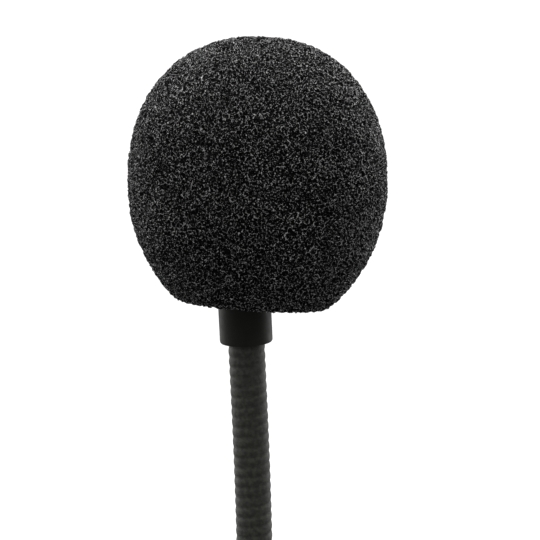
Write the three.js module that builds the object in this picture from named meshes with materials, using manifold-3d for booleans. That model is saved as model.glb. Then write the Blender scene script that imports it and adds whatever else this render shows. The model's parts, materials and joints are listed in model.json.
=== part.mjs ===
// A headset microphone: a sprung wire frame worn behind the neck, two temple
// blocks with soft pads, a swivelling gooseneck boom on the left side, and an
// electret capsule under a foam windscreen. Millimetres, +Z up. It stands on a
// table with the boom swung up; the wearer faces -Y, so the left side is +X.
import * as THREE from "three";
import { mergeVertices } from "three/addons/utils/BufferGeometryUtils.js";
import Module from "manifold-3d";

const wasm = await Module();
wasm.setup();

// ---- driving dimensions -------------------------------------------------
const GAP = 0.3; // left between pieces that rest on each other

const WIRE_R = 1.2; // frame wire radius
const EAR_SLEEVE_R = 2.5;
const EAR_SLEEVE_BORE_R = 1.5;

const TEMPLE_X = 63; // head side of a temple block, from the middle plane
const TEMPLE_Y = -36;
const TEMPLE_Z = 9.8;
const BLOCK_R = 10;
const BLOCK_DEEP = 9;
const BLOCK_WALL = 1.3;
const COVER_THICK = 1.4;
const BLOCK_FLOOR = BLOCK_DEEP - COVER_THICK; // inner face of the block's outer wall
const PAD_R = 9;
const PAD_THICK = 3.8;
const WIRE_AT = 4; // how far out of the head side the wire enters
const SCREW_SPREAD = 6.3;

const PIVOT_R = 2;
const PIVOT_BORE_R = 1.1;
const HUB_R = 8;
const HUB_IN = 10.4; // the hub's head side, in the block's frame
const HUB_THICK = 8;
const HUB_OUT = HUB_IN + HUB_THICK;
const BOOM_X = HUB_IN + 3.7;
const BOSS_R = 3.5;
const BOSS_TOP = 17.5;
const RECESS_R = 6.2;
const STOP_RADIUS = 5.8; // of the swivel's stop pin from the pivot axis
const STOP_PIN_R = 0.8;
const SWING_BACK = 30;
const SWING_FORWARD = 120;

const COIL_R = 1.95;
const COIL_BORE_R = 1.1;
const SHEATH_R = 2.4;
const SHEATH_BORE_R = 2.05;
const FERRULE_R = 3.1;
const FERRULE_LONG = 8.2;
const SECTION = 18; // length of one gooseneck section
// How far each joint leans the next section at rest, in degrees: forwards on
// the odd joints and towards the head on the even ones.
const REST_LEAN = [1.4, 0.6, 1.3, 0.8, 1.3, 1.2];

const HOUSING_R = 3.55;
const HOUSING_LONG = 16;
const CHAMBER_R = 3.05;
const CHAMBER_FROM = 8.9;

const FOAM_R = 17.5;
const FOAM_UP = 19.5;
const FOAM_DOWN = 20.3; // semi-axis of the lower half, before the cut
const FOAM_CUT = 16.7;
const FOAM_CUT_TILT = 4; // degrees, lower on the outer side
const FOAM_CENTRE = [1.55, -1, 22.0]; // from the middle of the housing's lip

const BLOCK_X = 20; // half the adjuster's width
const ADJUSTER_Y = 92;
const ADJUSTER_HIGH = 11;
const CHANNEL_Y = 3.1; // of a wire from the adjuster's parting plane
const CHANNEL_Z = 4.5;
const CHANNEL_HALF = 14;

// ---- helpers ------------------------------------------------------------
const radians = THREE.MathUtils.degToRad;

// A material for one kind of piece.
function finish(color, roughness, metalness = 0) {
  return new THREE.MeshStandardMaterial({ color, roughness, metalness });
}

const BLACK_PLASTIC = finish(0x18181a, 0.45);
const BLACK_RUBBER = finish(0x232321, 0.7);
const FOAM = finish(0x1d1d1f, 0.95);
const BLACK_WIRE = finish(0x151516, 0.35, 0.6);
const STEEL = finish(0xa9abad, 0.3, 1);
const BRASS = finish(0xb08d4a, 0.35, 1);
const ALUMINIUM = finish(0xc4c6c8, 0.35, 1);
const NYLON = finish(0xd8d4c8, 0.5);
const BOARD = finish(0x1f5a34, 0.5);
const CLOTH = finish(0x2a2a2a, 0.9);

function mesh(name, geometry, material) {
  const made = new THREE.Mesh(geometry, material);
  made.name = name;
  return made;
}

// A solid turned about Z. The profile's [radius, height] points run out along
// the bottom, up the outside and back in; it closes on itself off the axis.
function turned(profile, sides = 20) {
  const points = profile.map(([r, z]) => new THREE.Vector2(r, z));
  if (profile[0][0] > 0) points.push(points[0].clone());
  return new THREE.LatheGeometry(points, sides).rotateX(Math.PI / 2);
}

function rod(radius, from, to, sides = 20) {
  return turned([[0, from], [radius, from], [radius, to], [0, to]], sides);
}

function ring(outer, inner, from, to, sides = 20) {
  const profile = [[inner, from], [outer, from], [outer, to], [inner, to]];
  return turned(profile, sides);
}

// Turns a Z-axis solid to lie along X or along Y.
const alongX = (geometry) => geometry.rotateY(Math.PI / 2);
const alongY = (geometry) => geometry.rotateX(-Math.PI / 2);

function box(x0, x1, y0, y1, z0, z1) {
  return new THREE.BoxGeometry(x1 - x0, y1 - y0, z1 - z0).translate(
    (x0 + x1) / 2, (y0 + y1) / 2, (z0 + z1) / 2,
  );
}

function solid(geometry) {
  const bare = new THREE.BufferGeometry();
  bare.setAttribute("position", geometry.getAttribute("position"));
  if (geometry.index) bare.setIndex(geometry.index);
  const merged = mergeVertices(bare, 1e-4);
  return new wasm.Manifold(new wasm.Mesh({
    numProp: 3,
    vertProperties: merged.attributes.position.array,
    triVerts: new Uint32Array(merged.index.array),
  }));
}

function geometryOf(manifold) {
  const made = manifold.getMesh();
  const geometry = new THREE.BufferGeometry();
  const points = new THREE.BufferAttribute(made.vertProperties, 3);
  geometry.setAttribute("position", points);
  geometry.setIndex(new THREE.BufferAttribute(made.triVerts, 1));
  geometry.computeVertexNormals();
  return geometry;
}

const joined = (first, ...others) =>
  others.reduce((all, g) => all.add(solid(g)), solid(first));
const cut = (whole, ...tools) =>
  geometryOf(tools.reduce((left, g) => left.subtract(solid(g)), whole));

// A round rod or tube that follows a curve.
function along(curve, radius, bore, sides, steps) {
  const section = new THREE.Shape().absarc(0, 0, radius, 0, 2 * Math.PI);
  if (bore) {
    section.holes.push(
      new THREE.Path().absarc(0, 0, bore, 0, 2 * Math.PI, true),
    );
  }
  return new THREE.ExtrudeGeometry(section, {
    steps,
    curveSegments: sides,
    extrudePath: curve,
  });
}

// The stretch of a curve between two shares of its length.
class Stretch extends THREE.Curve {
  constructor(whole, from, to) {
    super();
    Object.assign(this, { whole, from, to });
  }
  getPoint(t, target = new THREE.Vector3()) {
    const share = THREE.MathUtils.lerp(this.from, this.to, t);
    return this.whole.getPointAt(share, target);
  }
}

// A block with rounded corners in the XZ plane and bevelled edges along Y.
function roundedBlock(halfX, high, y0, y1, corner, bevel) {
  const x = halfX - bevel;
  const z0 = bevel;
  const z1 = high - bevel;
  const outline = new THREE.Shape()
    .moveTo(-x + corner, z0)
    .lineTo(x - corner, z0)
    .absarc(x - corner, z0 + corner, corner, -Math.PI / 2, 0)
    .absarc(x - corner, z1 - corner, corner, 0, Math.PI / 2)
    .lineTo(-x + corner, z1)
    .absarc(-x + corner, z1 - corner, corner, Math.PI / 2, Math.PI)
    .absarc(-x + corner, z0 + corner, corner, Math.PI, 1.5 * Math.PI);
  return new THREE.ExtrudeGeometry(outline, {
    depth: y1 - y0 - 2 * bevel,
    curveSegments: 4,
    bevelThickness: bevel,
    bevelSize: bevel,
    bevelSegments: 1,
  }).rotateX(Math.PI / 2).translate(0, y1 - bevel, 0);
}
// ExtrudeGeometry builds in XY, so the outline's second axis becomes Z here.

// ---- capsule and windscreen ---------------------------------------------
// The housing's lip is at height 0 and the capsule faces +Z.
function micHead() {
  const head = new THREE.Group();
  const lip = 0.55;
  head.add(
    mesh("capsule_housing", turned([
      [SHEATH_R + 0.15, 0], [HOUSING_R - lip, 0],
      [HOUSING_R - 0.16, 0.16], [HOUSING_R, lip],
      [HOUSING_R, HOUSING_LONG - 0.3], [HOUSING_R - 0.3, HOUSING_LONG],
      [CHAMBER_R, HOUSING_LONG], [CHAMBER_R, CHAMBER_FROM],
      [SHEATH_R + 0.15, CHAMBER_FROM],
    ]), BLACK_PLASTIC),
    mesh("tip_ferrule", turned([
      [COIL_R + 0.15, 3.3], [SHEATH_R, 3.3], [SHEATH_R, 9.2],
      [CHAMBER_R - 0.15, 9.2], [CHAMBER_R - 0.15, 10],
      [COIL_R + 0.15, 10],
    ]), BRASS),
    mesh("capsule_boot", ring(2.9, 2.4, 10.3, 15.2), BLACK_RUBBER),
    mesh("capsule_can", turned([
      [0, 12.5], [2.25, 12.5], [2.25, 14.7], [2.05, 14.9], [0, 14.9],
    ]), ALUMINIUM),
    mesh("capsule_board", rod(2.1, 11.7, 12.2), BOARD),
    mesh("grille_cloth", rod(2.9, 15.4, 15.6), CLOTH),
    mesh("front_grille", frontGrille(), BLACK_PLASTIC),
  );
  return head;
}

function frontGrille() {
  const cap = turned([
    [0, 15.9], [2.9, 15.9], [2.9, 16.3], [HOUSING_R - 0.1, 16.3],
    [HOUSING_R - 0.1, 16.8], [3, 17.2], [1.6, 17.5], [0, 17.6],
  ]);
  const holes = [rod(0.5, 15, 18, 10)];
  for (let i = 0; i < 6; i += 1) {
    const angle = (i * Math.PI) / 3;
    const hole = rod(0.45, 15, 18, 10);
    holes.push(hole.translate(1.7 * Math.cos(angle), 1.7 * Math.sin(angle), 0));
  }
  return cut(solid(cap), ...holes);
}

// The windscreen in its own upright frame, with its widest circle at height 0.
// toHead carries the capsule's frame into it, and the bore follows the capsule.
function windscreen(toHead) {
  const profile = [];
  const rows = 8;
  for (let i = 0; i <= rows; i += 1) {
    const a = (i / rows - 1) * (Math.PI / 2);
    profile.push([FOAM_R * Math.cos(a), FOAM_DOWN * Math.sin(a)]);
  }
  const squareness = 2 / 2.2; // 1 would make the upper half an ellipse
  for (let i = 1; i <= rows; i += 1) {
    const a = (i / rows) * (Math.PI / 2);
    profile.push([
      FOAM_R * Math.cos(a) ** squareness,
      FOAM_UP * Math.sin(a) ** squareness,
    ]);
  }
  profile[0][0] = 0;
  profile[profile.length - 1][0] = 0;
  const below = box(-20, 20, -20, 20, -12, 0)
    .rotateY(radians(FOAM_CUT_TILT))
    .translate(0, 0, -FOAM_CUT);
  const bore = rod(HOUSING_R + GAP, -8, HOUSING_LONG + 2.2).applyMatrix4(toHead);
  return cut(solid(turned(profile, 28)), below, bore);
}

// ---- gooseneck ----------------------------------------------------------
// A joint between sections turns about the middle of the gap between them,
// and the chamfered ends leave it room.
function coilSection(from, to) {
  const end = 0.35;
  return turned([
    [COIL_BORE_R, from + end], [1.5, from + end],
    [COIL_R, from + end + 0.2], [COIL_R, to - end - 0.2],
    [1.5, to - end], [COIL_BORE_R, to - end],
  ], 12);
}

function sheathSection(from, to) {
  const end = 0.5;
  return turned([
    [SHEATH_BORE_R, from + end], [SHEATH_R - 0.15, from + end],
    [SHEATH_R, from + end + 0.15], [SHEATH_R, to - end - 0.15],
    [SHEATH_R - 0.15, to - end], [SHEATH_BORE_R, to - end],
  ], 12);
}

// Nested groups, one for each section; the last one carries the capsule.
function gooseneck() {
  const root = new THREE.Group();
  let parent = root;
  const last = REST_LEAN.length;
  for (let i = 0; i <= last; i += 1) {
    const section = new THREE.Group();
    section.name = `neck_joint_${i}`;
    if (i > 0) {
      section.position.z = SECTION;
      const lean = radians(REST_LEAN[i - 1]);
      if (i % 2 === 1) section.rotation.x = lean;
      else section.rotation.y = -lean;
    }
    const coilFrom = i === 0 ? -17.5 : 0;
    const coilTo = i === last ? SECTION + 9 : SECTION;
    const sheathTo = i === last ? SECTION + 3.2 : SECTION;
    section.add(
      mesh(`gooseneck_coil_${i + 1}`, coilSection(coilFrom, coilTo), STEEL),
      mesh(`gooseneck_sheath_${i + 1}`, sheathSection(0, sheathTo), BLACK_RUBBER),
    );
    parent.add(section);
    parent = section;
  }
  const head = micHead();
  head.name = "mic_head";
  head.position.z = SECTION;
  parent.add(head);
  return root;
}

// ---- swivel -------------------------------------------------------------
// In the frame of a temple block: its middle on the pivot axis, +X outwards.
function boomBase() {
  const base = new THREE.Group();
  base.add(
    mesh("swivel_hub", swivelHub(), BLACK_PLASTIC),
    mesh("swivel_cap", alongX(turned([
      [0, HUB_OUT - 0.5], [RECESS_R - 0.2, HUB_OUT - 0.5],
      [RECESS_R - 0.2, HUB_OUT + 0.1], [RECESS_R - 0.9, HUB_OUT + 0.5],
      [3, HUB_OUT + 0.8], [0, HUB_OUT + 0.9],
    ], 24)), BLACK_PLASTIC),
    mesh("boom_set_screw", alongY(rod(0.8, -3.4, -2.3, 12))
      .translate(BOOM_X, 0, 12.5), STEEL),
    mesh("pivot_tube", alongX(turned([
      [PIVOT_BORE_R, 5.4], [3, 5.4], [3, 6.2], [PIVOT_R, 6.2],
      [PIVOT_R, 15.9], [PIVOT_BORE_R, 15.9],
    ])), BRASS),
    mesh("pivot_nut", cut(
      solid(alongX(rod(3.2, 14.7, 15.7, 6))),
      alongX(rod(PIVOT_R + 0.15, 14, 17)),
    ), STEEL),
    mesh("base_ferrule", turned([
      [COIL_R + 0.15, 0], [FERRULE_R, 0], [FERRULE_R, 1.6],
      [FERRULE_R - 0.35, 1.9], [FERRULE_R - 0.35, 2.5], [FERRULE_R, 2.8],
      [FERRULE_R, 6.2], [FERRULE_R - 0.6, FERRULE_LONG],
      [COIL_R + 0.15, FERRULE_LONG],
    ]).translate(BOOM_X, 0, BOSS_TOP + GAP), STEEL),
  );
  const neck = gooseneck();
  neck.position.set(BOOM_X, 0, BOSS_TOP + GAP + FERRULE_LONG);
  base.add(neck);
  return base;
}

function swivelHub() {
  const disc = alongX(turned([
    [0, HUB_IN], [HUB_R - 0.6, HUB_IN], [HUB_R, HUB_IN + 0.6],
    [HUB_R, HUB_OUT - 1], [HUB_R - 1, HUB_OUT], [0, HUB_OUT],
  ], 24));
  const boss = turned([
    [0, 0], [BOSS_R, 0], [BOSS_R, BOSS_TOP - 0.8],
    [BOSS_R - 0.4, BOSS_TOP], [0, BOSS_TOP],
  ]).translate(BOOM_X, 0, 0);
  const coilBore = rod(COIL_R + 0.15, 5.2, BOSS_TOP + 1).translate(BOOM_X, 0, 0);
  const screwHole = alongY(rod(0.95, -4, -1, 12)).translate(BOOM_X, 0, 12.5);
  return cut(
    joined(disc, boss),
    coilBore,
    screwHole,
    alongX(rod(PIVOT_R + 0.15, HUB_IN - 1, HUB_OUT)),
    alongX(rod(RECESS_R, HUB_OUT - 4, HUB_OUT + 1, 24)),
    stopGroove(),
  );
}

// The arc that the block's stop pin runs in. The pin stands below the axis,
// so the arc reaches forwards by the backward swing and the other way round.
function stopGroove() {
  const past = radians(10); // the pin's own half width, and a little
  const from = radians(-90 - SWING_FORWARD) - past;
  const to = radians(-90 + SWING_BACK) + past;
  const half = STOP_PIN_R + 0.15;
  const arc = new THREE.Shape()
    .absarc(0, 0, STOP_RADIUS + half, from, to, false)
    .absarc(0, 0, STOP_RADIUS - half, to, from, true);
  const groove = new THREE.ExtrudeGeometry(arc, {
    depth: 2.8,
    curveSegments: 14,
    bevelEnabled: false,
  });
  // The outline's X becomes Y and its Y becomes Z.
  const turn = new THREE.Matrix4().makeBasis(
    new THREE.Vector3(0, 1, 0),
    new THREE.Vector3(0, 0, 1),
    new THREE.Vector3(1, 0, 0),
  );
  return groove.applyMatrix4(turn).translate(HUB_IN - 1, 0, 0);
}

// ---- temple blocks ------------------------------------------------------
const SOCKET_X = 4.7;
const SOCKET_Z = -5.9;
const SOCKET_R = 2.1;
const SOCKET_BOSS_END = 11;

function templeShell(hasBoom) {
  const body = alongX(turned([
    [0, 0], [BLOCK_R - 0.5, 0], [BLOCK_R, 0.5],
    [BLOCK_R, BLOCK_DEEP - 1.2], [BLOCK_R - 0.4, BLOCK_DEEP - 0.4],
    [BLOCK_R - 1.2, BLOCK_DEEP], [0, BLOCK_DEEP],
  ], 32));
  const cavity = alongX(rod(BLOCK_R - BLOCK_WALL, -1, BLOCK_FLOOR, 32));
  const added = [rod(2.4, 4.6, 9, 16).translate(WIRE_AT, 0, 0)];
  const removed = [rod(WIRE_R + GAP, 4, 12, 16).translate(WIRE_AT, 0, 0)];
  for (const y of [-SCREW_SPREAD, SCREW_SPREAD]) {
    added.push(alongX(rod(1.7, COVER_THICK + GAP, BLOCK_FLOOR + 0.5, 16))
      .translate(0, y, 0));
    removed.push(alongX(rod(0.7, COVER_THICK, BLOCK_FLOOR - 0.4, 10))
      .translate(0, y, 0));
  }
  if (hasBoom) {
    added.push(
      alongY(rod(3, 6, SOCKET_BOSS_END, 20)).translate(SOCKET_X, 0, SOCKET_Z),
      alongX(rod(STOP_PIN_R, BLOCK_DEEP - 0.5, BLOCK_DEEP + 2.6, 12))
        .translate(0, 0, -STOP_RADIUS),
    );
    removed.push(
      alongX(rod(PIVOT_R + 0.15, 5, 12)),
      alongY(rod(SOCKET_R + 0.15, -3, 12, 20)).translate(SOCKET_X, 0, SOCKET_Z),
    );
  }
  const foot = box(-1, 12, -12, 12, -14, -TEMPLE_Z);
  return cut(
    added.reduce(
      (all, g) => all.add(solid(g)),
      solid(body).subtract(solid(cavity)),
    ),
    ...removed,
    foot,
  );
}

function templeCover() {
  const plate = alongX(rod(BLOCK_R - BLOCK_WALL - 0.2, 0, COVER_THICK, 28));
  const holes = [-SCREW_SPREAD, SCREW_SPREAD].map((y) =>
    alongX(turned([
      [0, -1], [1.65, -1], [1.65, 0.5], [0.85, 0.9], [0.85, 2], [0, 2],
    ], 12)).translate(0, y, 0));
  return cut(solid(plate), ...holes);
}

function templeScrew() {
  return alongX(turned([
    [0, 0.1], [1.4, 0.1], [1.4, 0.4], [0.6, 0.75], [0.6, 4.6], [0, 4.9],
  ], 10));
}

function templeBlock(side) {
  const block = new THREE.Group();
  const hasBoom = side === "left";
  block.add(
    mesh(`temple_shell_${side}`, templeShell(hasBoom), BLACK_PLASTIC),
    mesh(`temple_cover_${side}`, templeCover(), BLACK_PLASTIC),
    mesh(`temple_pad_${side}`, alongX(turned([
      [0, -PAD_THICK - GAP], [PAD_R - 2, -PAD_THICK - GAP],
      [PAD_R - 0.6, -PAD_THICK + 0.3], [PAD_R, -PAD_THICK + 1.6],
      [PAD_R, -1], [PAD_R - 0.5, -GAP], [0, -GAP],
    ], 24)), BLACK_RUBBER),
    mesh(`temple_screw_${side}_front`,
      templeScrew().translate(0, -SCREW_SPREAD, 0), STEEL),
    mesh(`temple_screw_${side}_rear`,
      templeScrew().translate(0, SCREW_SPREAD, 0), STEEL),
  );
  if (hasBoom) addPivotAndSocket(block);
  return block;
}

function addPivotAndSocket(block) {
  block.add(
    mesh("spring_washer", alongX(turned([
      [2.25, 6.5], [3.4, 6.8], [3.4, 7.3], [2.25, 7],
    ])), STEEL),
    mesh("friction_washer", alongX(ring(4.5, 2.25, 9.3, 10.1)), NYLON),
    mesh("cable_socket", alongY(turned([
      [0, -2.5], [SOCKET_R, -2.5], [SOCKET_R, 11.3], [2.9, 11.3],
      [2.9, 12.1], [2.7, 12.4], [1.3, 12.4], [1.3, -1.5], [0, -1.5],
    ], 20)).translate(SOCKET_X, 0, SOCKET_Z), BLACK_PLASTIC),
    mesh("socket_contact_tip",
      contact(0.8), BRASS),
    mesh("socket_contact_sleeve",
      contact(-1.1), BRASS),
    mesh("socket_lead", along(new THREE.CatmullRomCurve3([
      new THREE.Vector3(4.9, 0, 0), new THREE.Vector3(3.9, -0.7, -0.3),
      new THREE.Vector3(3.2, -2.2, -1.8), new THREE.Vector3(3.6, -3.7, -3),
      new THREE.Vector3(4.5, -4.2, -4.1),
    ]), 0.4, 0, 3, 8), BLACK_RUBBER),
  );
}

// A solder tag behind the socket, at a height above its axis.
function contact(z) {
  return box(
    SOCKET_X - 0.7, SOCKET_X + 0.7, -4.6, -2.8,
    SOCKET_Z + z, SOCKET_Z + z + 0.3,
  );
}

// ---- wire frame ---------------------------------------------------------
// The wire's middle from the adjuster round the neck, over the ear and down
// to the temple block, for the left side.
function frameCurve(channelY) {
  const y0 = ADJUSTER_Y + channelY;
  const points = [
    [20.9, y0, CHANNEL_Z], [25, y0, CHANNEL_Z], [30, y0, CHANNEL_Z],
    [40, 90.2, 4.7], [50, 83.5, 5.6], [58, 73.5, 7.4], [63.3, 61, 10.2],
    [66.6, 48, 14], [68.4, 35, 19], [69.2, 23, 25.5], [69.4, 12.5, 34],
    [69.2, 3, 43], [68.9, -8, 49.4], [68.4, -19.5, 50],
    [67.8, -29, 44], [67.3, -34.4, 35], [TEMPLE_X + WIRE_AT, TEMPLE_Y, 26],
    [TEMPLE_X + WIRE_AT, TEMPLE_Y, 20], [TEMPLE_X + WIRE_AT, TEMPLE_Y, 15],
  ];
  return points.map((p) => new THREE.Vector3(...p));
}

function frameSide(side) {
  const group = new THREE.Group();
  const way = side === "left" ? 1 : -1;
  const channelY = -CHANNEL_Y * way;
  const curve = new THREE.CatmullRomCurve3(
    frameCurve(channelY).map((p) => p.setX(p.x * way)),
    false, "centripetal",
  );
  curve.arcLengthDivisions = 600;
  const sleeve = new Stretch(curve, 0.46, 0.87);
  group.add(
    mesh(`frame_wire_${side}`, along(curve, WIRE_R, 0, 4, 46), BLACK_WIRE),
    mesh(`ear_sleeve_${side}`,
      along(sleeve, EAR_SLEEVE_R, EAR_SLEEVE_BORE_R, 5, 22), BLACK_RUBBER),
    mesh(`slider_rod_${side}`, sliderRod(way, channelY), BLACK_WIRE),
    mesh(`slider_shoe_${side}`, sliderShoe(way, channelY), NYLON),
  );
  const block = templeBlock(side);
  block.position.set(TEMPLE_X * way, TEMPLE_Y, TEMPLE_Z);
  block.rotation.z = side === "left" ? 0 : Math.PI;
  group.add(block);
  return group;
}

// The wire's straight inner end, which slides in the adjuster.
function sliderRod(way, channelY) {
  const ends = [-1.5 * way, (BLOCK_X + 0.6) * way];
  return alongX(rod(WIRE_R, Math.min(...ends), Math.max(...ends), 12))
    .translate(0, ADJUSTER_Y + channelY, CHANNEL_Z);
}

// The friction shoe crimped on the wire's inner end.
function sliderShoe(way, channelY) {
  const y = ADJUSTER_Y + channelY;
  const ends = [-6 * way, 1 * way];
  const boreEnds = [-1.8 * way, 5 * way];
  const shoe = box(
    Math.min(...ends), Math.max(...ends),
    y - 2, y + 2, CHANNEL_Z - 1.9, CHANNEL_Z + 1.9,
  );
  const bore = alongX(rod(
    WIRE_R + 0.15, Math.min(...boreEnds), Math.max(...boreEnds), 12,
  )).translate(0, y, CHANNEL_Z);
  return geometryOf(solid(shoe).subtract(solid(bore)));
}

// ---- rear adjuster ------------------------------------------------------
function adjuster() {
  const group = new THREE.Group();
  group.add(
    mesh("adjuster_front_shell", adjusterShell(-1), BLACK_PLASTIC),
    mesh("adjuster_rear_shell", adjusterShell(1), BLACK_PLASTIC),
    mesh("friction_pad", box(
      -13.5, 13.5, ADJUSTER_Y - 0.8, ADJUSTER_Y + 0.8,
      CHANNEL_Z - 1.8, CHANNEL_Z + 1.8,
    ), BLACK_RUBBER),
  );
  for (const [name, x] of [["left", 17], ["right", -17]]) {
    group.add(mesh(`adjuster_screw_${name}`, alongY(turned([
      [0, -5.5], [0.7, -5.2], [0.7, 4.1], [1.4, 4.8], [1.4, 5.4], [0, 5.4],
    ], 12)).translate(x, ADJUSTER_Y, 8.3), STEEL));
  }
  return group;
}

// way -1 makes the shell nearer the head, with the left wire's channel, and
// 1 the outer shell, with the right wire's.
function adjusterShell(way) {
  const parting = GAP / 2;
  const deep = 6.4;
  const ends = [ADJUSTER_Y + way * parting, ADJUSTER_Y + way * deep];
  const block = roundedBlock(
    BLOCK_X, ADJUSTER_HIGH, Math.min(...ends), Math.max(...ends), 2.2, 0.6,
  );
  const y = ADJUSTER_Y + way * CHANNEL_Y;
  const open = ADJUSTER_Y - way * 1;
  const inner = y + way * 2.25;
  const channel = box(
    -CHANNEL_HALF, CHANNEL_HALF, Math.min(open, inner), Math.max(open, inner),
    CHANNEL_Z - 2.1, CHANNEL_Z + 2.1,
  );
  const exit = alongX(rod(WIRE_R + GAP, 10, 24, 16))
    .translate(way === 1 ? -34 : 0, y, CHANNEL_Z);
  const screwHoles = [17, -17].map((x) => alongY(turned([
    [0, -5.8], [0.85, -5.8], [0.85, 4], [1.55, 4.7], [1.55, 8], [0, 8],
  ], 12)).translate(x, ADJUSTER_Y, 8.3));
  return cut(solid(block), channel, exit, ...screwHoles);
}

// ---- the whole headset --------------------------------------------------
const headset = new THREE.Group();
headset.add(adjuster(), frameSide("left"), frameSide("right"));

const boom = boomBase();
boom.position.set(TEMPLE_X, TEMPLE_Y, TEMPLE_Z);
headset.add(boom);
headset.updateMatrixWorld(true);

// The windscreen stands upright on the leaning capsule.
const capsule = headset.getObjectByName("mic_head");
const foamAt = new THREE.Vector3()
  .setFromMatrixPosition(capsule.matrixWorld)
  .add(new THREE.Vector3(...FOAM_CENTRE));
const toHead = new THREE.Matrix4()
  .makeTranslation(-foamAt.x, -foamAt.y, -foamAt.z)
  .multiply(capsule.matrixWorld);
const foam = mesh("foam_windscreen", windscreen(toHead), FOAM);
foam.position.copy(foamAt);
headset.add(foam);

// The signal lead runs from the capsule down the gooseneck and through the
// hollow pivot.
const leadPoints = [new THREE.Vector3(0, 0, 11.2)
  .applyMatrix4(capsule.matrixWorld)];
for (let i = REST_LEAN.length; i >= 0; i -= 1) {
  const joint = headset.getObjectByName(`neck_joint_${i}`);
  leadPoints.push(new THREE.Vector3().setFromMatrixPosition(joint.matrixWorld));
}
for (const [x, z] of [[14.1, 14], [14.1, 9], [14.9, 6.5], [16.4, 4.7],
  [17, 3], [16.9, 1.2], [15.9, 0.1], [14, 0], [9, 0], [5.5, 0]]) {
  leadPoints.push(new THREE.Vector3(TEMPLE_X + x, TEMPLE_Y, TEMPLE_Z + z));
}
headset.add(mesh("signal_lead", along(
  new THREE.CatmullRomCurve3(leadPoints, false, "centripetal"),
  0.5, 0, 3, 80,
), BLACK_RUBBER));

// The origin is the middle of the footprint, on the table.
const extent = new THREE.Box3().setFromObject(headset);
const middle = extent.getCenter(new THREE.Vector3());
headset.position.set(-middle.x, -middle.y, -extent.min.z);

const part = new THREE.Group();
part.add(headset);
export default part;
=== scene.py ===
import json
import math

import bpy
import numpy as np
from mathutils import Matrix, Vector
from mathutils.geometry import delaunay_2d_cdt


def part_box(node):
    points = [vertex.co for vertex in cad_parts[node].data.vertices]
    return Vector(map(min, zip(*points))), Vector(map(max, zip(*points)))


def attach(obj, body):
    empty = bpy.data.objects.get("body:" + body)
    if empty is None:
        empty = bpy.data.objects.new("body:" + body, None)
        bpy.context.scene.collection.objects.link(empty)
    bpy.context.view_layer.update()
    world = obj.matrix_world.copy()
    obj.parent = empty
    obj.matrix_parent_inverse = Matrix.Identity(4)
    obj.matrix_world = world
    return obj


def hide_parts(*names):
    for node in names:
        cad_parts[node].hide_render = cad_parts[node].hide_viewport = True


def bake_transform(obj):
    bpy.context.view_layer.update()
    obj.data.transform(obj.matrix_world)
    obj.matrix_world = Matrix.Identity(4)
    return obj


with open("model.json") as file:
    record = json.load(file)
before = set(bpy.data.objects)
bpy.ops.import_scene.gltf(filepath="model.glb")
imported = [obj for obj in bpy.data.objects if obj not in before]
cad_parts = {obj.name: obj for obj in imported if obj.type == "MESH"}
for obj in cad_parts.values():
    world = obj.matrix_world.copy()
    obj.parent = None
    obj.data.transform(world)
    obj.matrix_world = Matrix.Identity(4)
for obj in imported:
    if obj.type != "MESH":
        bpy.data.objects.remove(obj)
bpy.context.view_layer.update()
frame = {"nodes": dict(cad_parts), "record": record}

MM = 0.001

# ---- where things are ----
# The headset's own frame, in millimetres, is the one its parts were drawn in:
# the middle of the head is x = 0 and the table is z = 0. SHIFT takes it to the
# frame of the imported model, and is found from where the swivel's cap is.
TEMPLE = Vector((63.0, -36.0, 9.8))  # the middle of the left pad's flat back
HUB_OUT = 18.4  # the swivel hub's outer face, from TEMPLE
CAP_SUNK = 0.5  # how far the cap goes into it
cap_low, cap_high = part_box("swivel_cap")
SHIFT = Vector((
    cap_low.x / MM - (TEMPLE.x + HUB_OUT - CAP_SUNK),
    (cap_low.y + cap_high.y) / 2 / MM - TEMPLE.y,
    (cap_low.z + cap_high.z) / 2 / MM - TEMPLE.z,
))
BOOM_X = 14.1  # the boom's axis and the gooseneck's foot, from TEMPLE
NECK_FOOT = 26.0
SECTION = 18.0  # length of each of the gooseneck's seven sections
REST_LEAN = (1.4, -0.6, 1.3, -0.8, 1.3, -1.2)  # degrees, about X and Y by turns
HALF_TURN = Matrix.Rotation(math.pi, 4, "Z")
ALONG_X = Matrix.Rotation(math.pi / 2, 4, "Y")  # a lathe's +Z becomes +X
ALONG_Y = Matrix.Rotation(-math.pi / 2, 4, "X")


def moved(x, y, z):
    return Matrix.Translation((x, y, z))


LEFT_BLOCK = moved(*TEMPLE)
RIGHT_BLOCK = moved(-TEMPLE.x, TEMPLE.y, TEMPLE.z) @ HALF_TURN


def neck_places():
    """The place of each gooseneck section's foot, and of the capsule."""
    place = LEFT_BLOCK @ moved(BOOM_X, 0, NECK_FOOT)
    places = [place]
    for i, lean in enumerate(REST_LEAN):
        turn = Matrix.Rotation(math.radians(lean), 4, "XY"[i % 2])
        place = place @ moved(0, 0, SECTION) @ turn
        places.append(place)
    return places, place @ moved(0, 0, SECTION)


NECK, HEAD = neck_places()
NECK_BODIES = ["boom_arm"] + [f"neck_{i}" for i in range(1, 6)] + ["mic_head"]


def to_packed(point_mm):
    """A point of the headset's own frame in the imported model's, in metres."""
    return (Vector(point_mm) + SHIFT) * MM


# ---- mesh helpers ----
SHARP = 35  # degrees between two faces, above which the edge shows


def put_in_scene(name, data):
    obj = bpy.data.objects.new(name, data)
    bpy.context.scene.collection.objects.link(obj)
    return obj


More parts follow.
